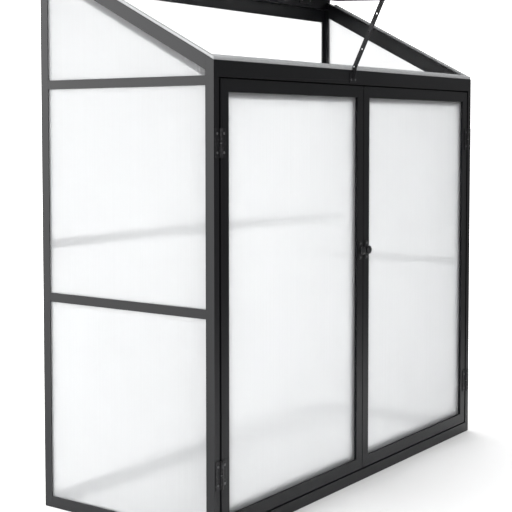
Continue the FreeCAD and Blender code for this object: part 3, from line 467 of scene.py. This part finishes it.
def twin_wall_tree():
    tree, web, given = start_geometry("twin_wall_sheet", {
        "Thickness": "float", "Skin": "float", "Web": "float", "Pitch": "float", "First": "float",
        "Cells": "int", "Reach": "float", "Surface": "material", "Lining": "material"})
    outline, thick, skin = given.wire("Geometry"), given.wire("Thickness"), given.wire("Skin")
    pitch = given.wire("Pitch")
    raised = web.node("GeometryNodeExtrudeMesh", {"Mesh": outline, "Offset Scale": thick,
                                                  "Individual": False}).wire("Mesh")
    under = web.node("GeometryNodeFlipFaces", {"Mesh": outline}).wire()
    both = web.node("GeometryNodeJoinGeometry")
    for part in (raised, under):
        web.tree.links.new(part.socket, both.node.inputs[0])
    slab = web.node("GeometryNodeMergeByDistance", {"Geometry": both.wire(), "Distance": SAME_POINT}).wire()
    row = web.node("GeometryNodeMeshLine", {
        "Count": given.wire("Cells"), "Start Location": xyz(web, x=given.wire("First"), z=thick * 0.5),
        "Offset": xyz(web, x=pitch)}).wire()
    cell_size = xyz(web, pitch - given.wire("Web"), given.wire("Reach"), thick - skin * 2.0)
    cell = web.node("GeometryNodeMeshCube", {"Size": cell_size}).wire("Mesh")
    copies = web.node("GeometryNodeInstanceOnPoints", {"Points": row, "Instance": cell}).wire()
    cells = web.node("GeometryNodeRealizeInstances", {"Geometry": copies}).wire()
    cut = web.node("GeometryNodeMeshBoolean", {"Mesh 1": slab, "Mesh 2": cells}, operation="DIFFERENCE",
                   solver="MANIFOLD").wire("Mesh")
    normal = web.node("GeometryNodeInputNormal").wire("Normal")
    upward = web.node("ShaderNodeSeparateXYZ", {"Vector": normal}).wire("Z")
    position = web.node("GeometryNodeInputPosition").wire()
    above_middle = web.node("ShaderNodeSeparateXYZ", {"Vector": position}).wire("Z") - thick * 0.5
    depth = above_middle.math("ABSOLUTE", above_middle)
    inside = web.node("FunctionNodeCompare", {"A": depth, "B": thick * 0.5 - skin * 0.5},
                      data_type="FLOAT", operation="LESS_THAN").wire("Result")
    flat = web.node("FunctionNodeCompare", {"A": upward.math("ABSOLUTE", upward), "B": FLAT_ENOUGH},
                    data_type="FLOAT", operation="GREATER_THAN").wire("Result")
    lining = web.node("FunctionNodeBooleanMath", {0: inside, 1: flat}, operation="AND").wire()
    finish_geometry(web, cut, given.wire("Surface"), (lining, given.wire("Lining")))
    return tree


TWIN_WALL = twin_wall_tree()
print("tree", TWIN_WALL.name, "has", len(TWIN_WALL.nodes), "nodes")

# %% [markdown]
# Running a tree and keeping its result.
# A modifier's inputs are set by each socket's identifier, because a name can appear twice.
# The evaluated result is then turned into a plain mesh, the modifier goes, and the mesh is moved to its
# place on the object. The object itself stays at the origin, so its Object coordinates are true metres.

# %% Grow a piece
def grow(name, start, tree, values, place):
    """Run a tree on the mesh start, and return the result as a piece at its place."""
    seed = bpy.data.objects.new(name + "_seed", start)
    bpy.context.scene.collection.objects.link(seed)
    modifier = seed.modifiers.new("grow", "NODES")
    modifier.node_group = tree
    for socket in tree.interface.items_tree:
        if socket.in_out == "INPUT" and socket.name in values:
            modifier[socket.identifier] = values[socket.name]
    seed.update_tag()
    bpy.context.view_layer.update()
    result = seed.evaluated_get(bpy.context.evaluated_depsgraph_get())
    mesh = bpy.data.meshes.new_from_object(result)
    seed.modifiers.remove(modifier)
    bpy.data.objects.remove(seed)
    mesh.name = name
    mesh.transform(place)
    piece = bpy.data.objects.new(name, mesh)
    bpy.context.scene.collection.objects.link(piece)
    return piece


def stand_for(piece, part):
    """The piece rides on the body of a CAD part and takes the part's place in the picture."""
    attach(piece, BODY_OF[part])
    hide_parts(part)


# %% [markdown]
# Laying out the eleven sheets.
# Each sheet is drawn flat in its own plane: across its webs, along them, and through its thickness.
# Its outline is read from the CAD part. The two gables have six corners and the others have four.
# Two directions and their cross product then turn the flat sheet into place, the right way out.
# A sheet is a hair thinner on each face than its CAD part, so it never shares a face with a bar's lip.

# %% Read a sheet's outline
SHEET_RULE = {"Skin": 0.00035, "Web": 0.0003, "Pitch": 0.010, "Lining": CELL_SKIN}
HAIR = 0.0002
LEVEL_TOP = 0.001
CELL_OVERSHOOT = 1.2


def flat_corners(points):
    """Corners of an outline, from all the (across, along) points of a sheet."""
    near, far = min(p[0] for p in points), max(p[0] for p in points)
    low, high = min(p[1] for p in points), max(p[1] for p in points)
    front = max(p[1] for p in points if p[0] < near + HAIR)
    back = max(p[1] for p in points if p[0] > far - HAIR)
    if high - min(front, back) < LEVEL_TOP:
        return [(near, low), (far, low), (far, high), (near, high)]
    shoulder = max(p[0] for p in points if p[1] > high - HAIR)
    return [(near, low), (far, low), (far, back), (shoulder, back), (shoulder, high), (near, front)]


def frame_of(across, along):
    """A turn from the flat sheet's axes to the object's."""
    across, along = Vector(across).normalized(), Vector(along).normalized()
    through = across.cross(along)
    return Matrix((across, along, through)).transposed().to_4x4()


# %% Grow the sheets
def twin_wall(part, across, along, surface):
    turn = frame_of(across, along)
    local = [turn.inverted() @ v.co for v in frame["nodes"][part].data.vertices]
    corners = flat_corners([(p.x, p.y) for p in local])
    floor, top = min(p.z for p in local), max(p.z for p in local)
    start = bpy.data.meshes.new(part + "_outline")
    start.from_pydata([(u, v, 0.0) for u, v in corners], [], [tuple(range(len(corners)))])
    us, vs = [u for u, _ in corners], [v for _, v in corners]
    pitch, web = SHEET_RULE["Pitch"], SHEET_RULE["Web"]
    count = int((max(us) - min(us) - web) // pitch)
    first = (min(us) + max(us) - (count - 1) * pitch) / 2
    start.transform(Matrix.Translation((0.0, -(min(vs) + max(vs)) / 2, 0.0)))
    values = {**SHEET_RULE, "Thickness": top - floor - 2 * HAIR, "First": first, "Cells": count,
              "Reach": CELL_OVERSHOOT * (max(vs) - min(vs)), "Surface": surface}
    place = turn @ Matrix.Translation((0.0, (min(vs) + max(vs)) / 2, floor + HAIR))
    piece = grow(part.replace("_panel", "_sheet"), start, TWIN_WALL, values, place)
    stand_for(piece, part)
    print(piece.name, "cells", count, "faces", len(piece.data.polygons))
    return piece


LID_SLOPE = math.radians(2.8)
SIDEWAYS, BACKWARDS, UPWARDS = (1, 0, 0), (0, 1, 0), (0, 0, 1)
UP_THE_LID = (0.0, math.cos(LID_SLOPE), math.sin(LID_SLOPE))
for side in ("left", "right"):
    for level in ("lower", "middle", "gable"):
        twin_wall("%s_%s_panel" % (side, level), BACKWARDS, UPWARDS, SIDE_SKIN)
    twin_wall(side + "_door_panel", SIDEWAYS, UPWARDS, FRONT_SKIN)
for part in ("back_lower_panel", "back_upper_panel"):
    twin_wall(part, SIDEWAYS, UPWARDS, FRONT_SKIN)
twin_wall("lid_panel", SIDEWAYS, UP_THE_LID, FRONT_SKIN)

# %% [markdown]
# Cross-head screws.
# Twenty-eight small pan-head screws hold the hinges, the knob plates and the stay's bracket.
# They are all the same, so one head is shaped in a tree and instanced on a point for each screw.
# The dome comes from lowering the top as it nears the rim, the cross from two blocks cut out of it.
# Each head is turned by its own amount, from a fixed seed, because nobody lines screws up.

# %% The screw tree
DOME_CURVE, DOME_DROP = 1.6, 0.6
CROSS_LENGTH = 1.15


def screw_tree():
    tree, web, given = start_geometry("pan_head_screws", {
        "Head Radius": "float", "Head Height": "float", "Shank Radius": "float", "Shank Length": "float",
        "Slot Width": "float", "Slot Depth": "float", "Sides": "int", "Seed": "int", "Surface": "material"})
    radius, height = given.wire("Head Radius"), given.wire("Head Height")
    disc = web.node("GeometryNodeMeshCylinder", {
        "Vertices": given.wire("Sides"), "Side Segments": 1, "Fill Segments": 5, "Radius": radius,
        "Depth": height}, fill_type="TRIANGLE_FAN").wire("Mesh")
    place = web.node("ShaderNodeSeparateXYZ", {"Vector": web.node("GeometryNodeInputPosition").wire()})
    out = (place.wire("X") * place.wire("X") + place.wire("Y") * place.wire("Y")) / (radius * radius)
    on_top = web.node("FunctionNodeCompare", {"A": place.wire("Z"), "B": 0.0}, data_type="FLOAT",
                      operation="GREATER_THAN").wire("Result")
    drop = out ** DOME_CURVE * height * -DOME_DROP
    dome = web.node("GeometryNodeSetPosition", {"Geometry": disc, "Selection": on_top,
                                                "Offset": xyz(web, z=drop)}).wire()
    bars = web.node("GeometryNodeJoinGeometry")
    for turned in (False, True):
        long, wide = radius * CROSS_LENGTH, given.wire("Slot Width")
        size = xyz(web, wide if turned else long, long if turned else wide, given.wire("Slot Depth") * 2.0)
        block = web.node("GeometryNodeMeshCube", {"Size": size}).wire("Mesh")
        raised = web.node("GeometryNodeTransform", {"Geometry": block,
                                                    "Translation": xyz(web, z=height * 0.5)}).wire()
        web.tree.links.new(raised.socket, bars.node.inputs[0])
    head = web.node("GeometryNodeMeshBoolean", {"Mesh 1": dome, "Mesh 2": bars.wire(),
                                                "Self Intersection": True},
                    operation="DIFFERENCE", solver="EXACT").wire("Mesh")
    seated = web.node("GeometryNodeTransform", {"Geometry": head,
                                                "Translation": xyz(web, z=height * 0.5)}).wire()
    shank = web.node("GeometryNodeMeshCylinder", {
        "Vertices": given.wire("Sides"), "Radius": given.wire("Shank Radius"),
        "Depth": given.wire("Shank Length")}).wire("Mesh")
    sunk = web.node("GeometryNodeTransform", {"Geometry": shank, "Translation": xyz(
        web, z=given.wire("Shank Length") * -0.5)}).wire()
    whole = web.node("GeometryNodeJoinGeometry")
    for part in (seated, sunk):
        web.tree.links.new(part.socket, whole.node.inputs[0])
    spin = web.node("FunctionNodeRandomValue", {"Max_001": 2 * math.pi, "Seed": given.wire("Seed")},
                    data_type="FLOAT").wire("Value_001")
    turn = web.node("FunctionNodeRotateEuler", {"Rotation": (math.pi / 2, 0.0, 0.0),
                                                "Rotate By": xyz(web, z=spin)}, space="LOCAL").wire()
    placed = web.node("GeometryNodeInstanceOnPoints", {"Points": given.wire("Geometry"),
                                                       "Instance": whole.wire(), "Rotation": turn}).wire()
    finish_geometry(web, placed, given.wire("Surface"))
    return tree


SCREWS = screw_tree()
print("tree", SCREWS.name, "has", len(SCREWS.nodes), "nodes")

# %% [markdown]
# Where the screws are.
# The CAD part that holds the screws is one mesh with a separate shell for each. Walking over faces that
# share a corner splits it into shells again, and the box of each shell gives the seat of one head.

# %% Split a part into its shells
STEPS_PER_METRE = 20000


def shells(part):
    """Lowest and highest corner of every separate shell of a CAD part."""
    mesh = frame["nodes"][part].data
    key = [tuple(round(c * STEPS_PER_METRE) for c in v.co) for v in mesh.vertices]
    owner = {k: k for k in key}

    def root(k):
        while owner[k] != k:
            owner[k] = owner[owner[k]]
            k = owner[k]
        return k

    for face in mesh.polygons:
        corners = [key[i] for i in face.vertices]
        for other in corners[1:]:
            owner[root(other)] = root(corners[0])
    groups = {}
    for k, v in zip(key, mesh.vertices):
        groups.setdefault(root(k), []).append(v.co)
    return [(Vector(map(min, zip(*found))), Vector(map(max, zip(*found)))) for found in groups.values()]


# %% Set the screws
HEAD_HEIGHT = 0.0014
SCREW_RULE = {"Head Radius": 0.003, "Head Height": HEAD_HEIGHT, "Shank Radius": 0.0015,
              "Shank Length": 0.006, "Slot Width": 0.0007, "Slot Depth": 0.0008, "Sides": 24,
              "Surface": SCREW_STEEL}


def set_screws(part, seed):
    """A cross-head screw takes the place of every shell of the CAD part."""
    seats = [((lo.x + hi.x) / 2, lo.y + HEAD_HEIGHT, (lo.z + hi.z) / 2) for lo, hi in shells(part)]
    points = bpy.data.meshes.new(part + "_seats")
    points.from_pydata(seats, [], [])
    values = {**SCREW_RULE, "Seed": seed}
    piece = grow(part.replace("_screws", "_cross_heads"), points, SCREWS, values, Matrix.Identity(4))
    stand_for(piece, part)
    print(piece.name, "screws", len(seats), "faces", len(piece.data.polygons))


for part, seed in (("frame_screws", 3), ("left_door_screws", 7), ("right_door_screws", 11)):
    set_screws(part, seed)

# %% [markdown]
# Ridged door knobs.
# Each knob is a short black grip on a collar, with a spindle that goes through the stile to its cam.
# A ridge repeats round the rim, so the rim is a circle whose radius swings with the angle, which a cosine
# gives in the tree. The swing fades toward the front, where the grip is domed for the thumb.

# %% The knob tree
ROUNDING = 0.16
BAR_SIDES = 32


def knob_tree():
    tree, web, given = start_geometry("ridged_knob", {
        "Radius": "float", "Grip": "float", "Ridges": "float", "Ridge Depth": "float", "Sides": "int",
        "Collar Radius": "float", "Collar": "float", "Spindle Radius": "float", "Spindle": "float",
        "Surface": "material"})
    radius, grip = given.wire("Radius"), given.wire("Grip")
    rim = web.node("GeometryNodeMeshCylinder", {
        "Vertices": given.wire("Sides"), "Side Segments": 10, "Fill Segments": 5, "Radius": radius,
        "Depth": grip}, fill_type="TRIANGLE_FAN").wire("Mesh")
    place = web.node("ShaderNodeSeparateXYZ", {"Vector": web.node("GeometryNodeInputPosition").wire()})
    x, y, z = place.wire("X"), place.wire("Y"), place.wire("Z")
    angle = x.math("ARCTAN2", y, x)
    out = ((x * x + y * y) ** 0.5) / radius
    front = (z / grip + 0.5).clipped()
    swing = angle.math("COSINE", angle * given.wire("Ridges")) * 0.5 - 0.5
    notch = swing * (given.wire("Ridge Depth") / radius) * (1.0 - front ** 4.0) * out ** 6.0
    shrink = 1.0 + notch - front ** 7.0 * ROUNDING * out
    sink = front ** 3.0 * out ** 3.0 * grip * -ROUNDING
    moved = web.node("GeometryNodeSetPosition", {"Geometry": rim, "Position": xyz(
        web, x * shrink, y * shrink, z + sink)}).wire()
    parts = web.node("GeometryNodeJoinGeometry")
    lifted = web.node("GeometryNodeTransform", {"Geometry": moved, "Translation": xyz(
        web, z=given.wire("Collar") + grip * 0.5)}).wire()
    web.tree.links.new(lifted.socket, parts.node.inputs[0])
    for size, length, up in (("Collar Radius", "Collar", 0.5), ("Spindle Radius", "Spindle", -0.5)):
        bar = web.node("GeometryNodeMeshCylinder", {
            "Vertices": BAR_SIDES, "Radius": given.wire(size), "Depth": given.wire(length)}).wire("Mesh")
        set_in = web.node("GeometryNodeTransform", {"Geometry": bar, "Translation": xyz(
            web, z=given.wire(length) * up)}).wire()
        web.tree.links.new(set_in.socket, parts.node.inputs[0])
    finish_geometry(web, parts.wire(), given.wire("Surface"))
    return tree


KNOB = knob_tree()
print("tree", KNOB.name, "has", len(KNOB.nodes), "nodes")

# %% Turn the two knobs
PLATE_GAP = 0.0003
COLLAR = 0.004
KNOB_RULE = {"Ridges": 16.0, "Ridge Depth": 0.0007, "Sides": 128, "Collar Radius": 0.006, "Collar": COLLAR,
             "Spindle Radius": 0.003, "Surface": KNOB_PLASTIC}
for side in ("left", "right"):
    low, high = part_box(side + "_knob")
    collar_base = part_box(side + "_knob_plate")[0].y - PLATE_GAP
    values = {**KNOB_RULE, "Radius": (high.x - low.x) / 2, "Grip": collar_base - low.y - COLLAR,
              "Spindle": high.y - collar_base}
    centre = Vector(((low.x + high.x) / 2, collar_base, (low.z + high.z) / 2))
    place = Matrix.Translation(centre) @ Matrix.Rotation(math.pi / 2, 4, "X")
    knob = grow(side + "_ridged_knob", bpy.data.meshes.new(side + "_knob_start"), KNOB, values, place)
    for face in knob.data.polygons:
        face.use_smooth = True
    stand_for(knob, side + "_knob")
    print(knob.name, "faces", len(knob.data.polygons))

# %% [markdown]
# Floor and light.
# The object stands on a plain pale floor in soft studio light. The floor fades out with distance, so
# there is no horizon, and it throws less light up at the front of the bars.
# The surroundings are bright behind and above, and darker toward the right front. A satin bar shows what
# it faces: its left faces pick up the bright side and look grey, and its front faces stay near black.
# Two large soft lamps add the rest. One stands at the left rear and grazes the side bars, and the other
# lights the doors from the front left.

# %% Lay the floor
FLOOR_HALF = 30.0
FLOOR_DROP = 0.0005
FADE_START, FADE_LENGTH = 0.9, 1.7


def pale_floor():
    material, web, point = start_material("pale_floor_matt")
    cloud = noise(web, point, 0.8, detail=3.0)
    surface = web.node("ShaderNodeBsdfPrincipled", {
        "Base Color": blend(web, cloud, (0.90, 0.90, 0.90), (0.93, 0.93, 0.93)),
        "Roughness": (0.80 + cloud * 0.1).clipped(),
    }).wire("BSDF")
    reach = web.node("ShaderNodeVectorMath", {0: point}, operation="LENGTH").wire("Value")
    fade = ((reach - FADE_START) / FADE_LENGTH).clipped()
    open_part = web.node("ShaderNodeBsdfTransparent").wire()
    finish_material(web, web.node("ShaderNodeMixShader", {"Fac": fade, 1: surface, 2: open_part}).wire())
    mesh = bpy.data.meshes.new("pale_floor")
    corners = [(x * FLOOR_HALF, y * FLOOR_HALF, -FLOOR_DROP) for x, y in ((-1, -1), (1, -1), (1, 1), (-1, 1))]
    mesh.from_pydata(corners, [], [(0, 1, 2, 3)])
    mesh.materials.append(material)
    floor = bpy.data.objects.new("pale_floor", mesh)
    bpy.context.scene.collection.objects.link(floor)
    floor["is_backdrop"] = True
    print("floor laid, fading out from", FADE_START, "to", FADE_START + FADE_LENGTH, "metres")


pale_floor()

# %% Set the surroundings
ALL_ROUND, OVERHEAD = 1.09, 1.10
SHADED_SIDE, SHADE = 0.3, 0.82
LEFT_BACK, LEFT_BACK_GLOW = (-0.66, 0.70, 0.27), 3.8
RIGHT_BACK, RIGHT_BACK_GLOW = (0.66, 0.75, 0.0), 1.1
world = bpy.data.worlds.new("soft_studio")
world.use_nodes = True
world.node_tree.nodes.clear()
sky = Web(world.node_tree)
toward = sky.node("ShaderNodeSeparateXYZ", {"Vector": sky.node("ShaderNodeTexCoord").wire("Generated")})
x, y, z = toward.wire("X"), toward.wire("Y"), toward.wire("Z")


def glow(direction, tightness):
    """1 toward a direction and 0 away from it. A greater tightness makes the spot smaller."""
    return (x * direction[0] + y * direction[1] + z * direction[2]).clipped() ** tightness


right_front = ((SHADED_SIDE - y) * 2.6).clipped() * ((x + SHADED_SIDE) * 2.2).clipped()
level = (ALL_ROUND + z.clipped() * OVERHEAD) * (1.0 - right_front * SHADE)
level = level + glow(LEFT_BACK, 7.0) * LEFT_BACK_GLOW + glow(RIGHT_BACK, 3.0) * RIGHT_BACK_GLOW
sky.node("ShaderNodeOutputWorld", {"Surface": sky.node("ShaderNodeBackground", {
    "Color": (1.0, 1.0, 1.0, 1.0), "Strength": level}).wire()})
bpy.context.scene.world = world
print("surroundings set")

# %% Hang the lamps
def soft_lamp(name, place, aim, size, power):
    light = bpy.data.lights.new(name, "AREA")
    light.shape, light.size, light.energy = "SQUARE", size, power
    lamp = bpy.data.objects.new(name, light)
    lamp.location = place
    lamp.rotation_euler = (Vector(aim) - Vector(place)).to_track_quat("-Z", "Y").to_euler()
    bpy.context.scene.collection.objects.link(lamp)


soft_lamp("left_rear_softbox", place=(-3.2, 2.3, 1.9), aim=(-0.6, 0.0, 0.9), size=2.0, power=16.0)
soft_lamp("front_left_softbox", place=(-1.6, -4.4, 2.6), aim=(0.1, -0.2, 0.6), size=2.4, power=20.0)

# %% [markdown]
# Camera.
# The camera stands low at the front left, and its long lens keeps the uprights nearly parallel.
# The picture is shifted down a little, as a view camera's falling front does, so that the camera itself
# has to tip only by about three degrees.

# %% Place the camera
CAMERA_PLACE = (-2.7399, -1.8738, 0.9392)
YAW, PITCH, ROLL = math.radians(35.528), math.radians(-3.102), math.radians(-0.040)
camera_data = bpy.data.cameras.new("low_left_camera")
camera_data.lens, camera_data.sensor_width = 83.92, 36.0
camera_data.shift_y = -0.12
camera_data.clip_end = 200.0
camera = bpy.data.objects.new("low_left_camera", camera_data)
look = Vector((math.cos(YAW) * math.cos(PITCH), math.sin(YAW) * math.cos(PITCH), math.sin(PITCH)))
camera.location = CAMERA_PLACE
camera.rotation_euler = look.to_track_quat("-Z", "Y").to_euler()
camera.rotation_euler.rotate_axis("Z", ROLL)
bpy.context.scene.collection.objects.link(camera)
bpy.context.scene.camera = camera
bpy.context.scene.view_settings.view_transform = "Standard"
bpy.context.scene.cycles.transparent_max_bounces = 32
print("camera", [round(v, 3) for v in camera.location], "lens", camera_data.lens)

# %% [markdown]
# The box that the dressed object fills, in metres.

# %% Write the sizes and finish
low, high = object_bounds()
print("shown box in metres:", [round(v, 4) for v in low], [round(v, 4) for v in high])
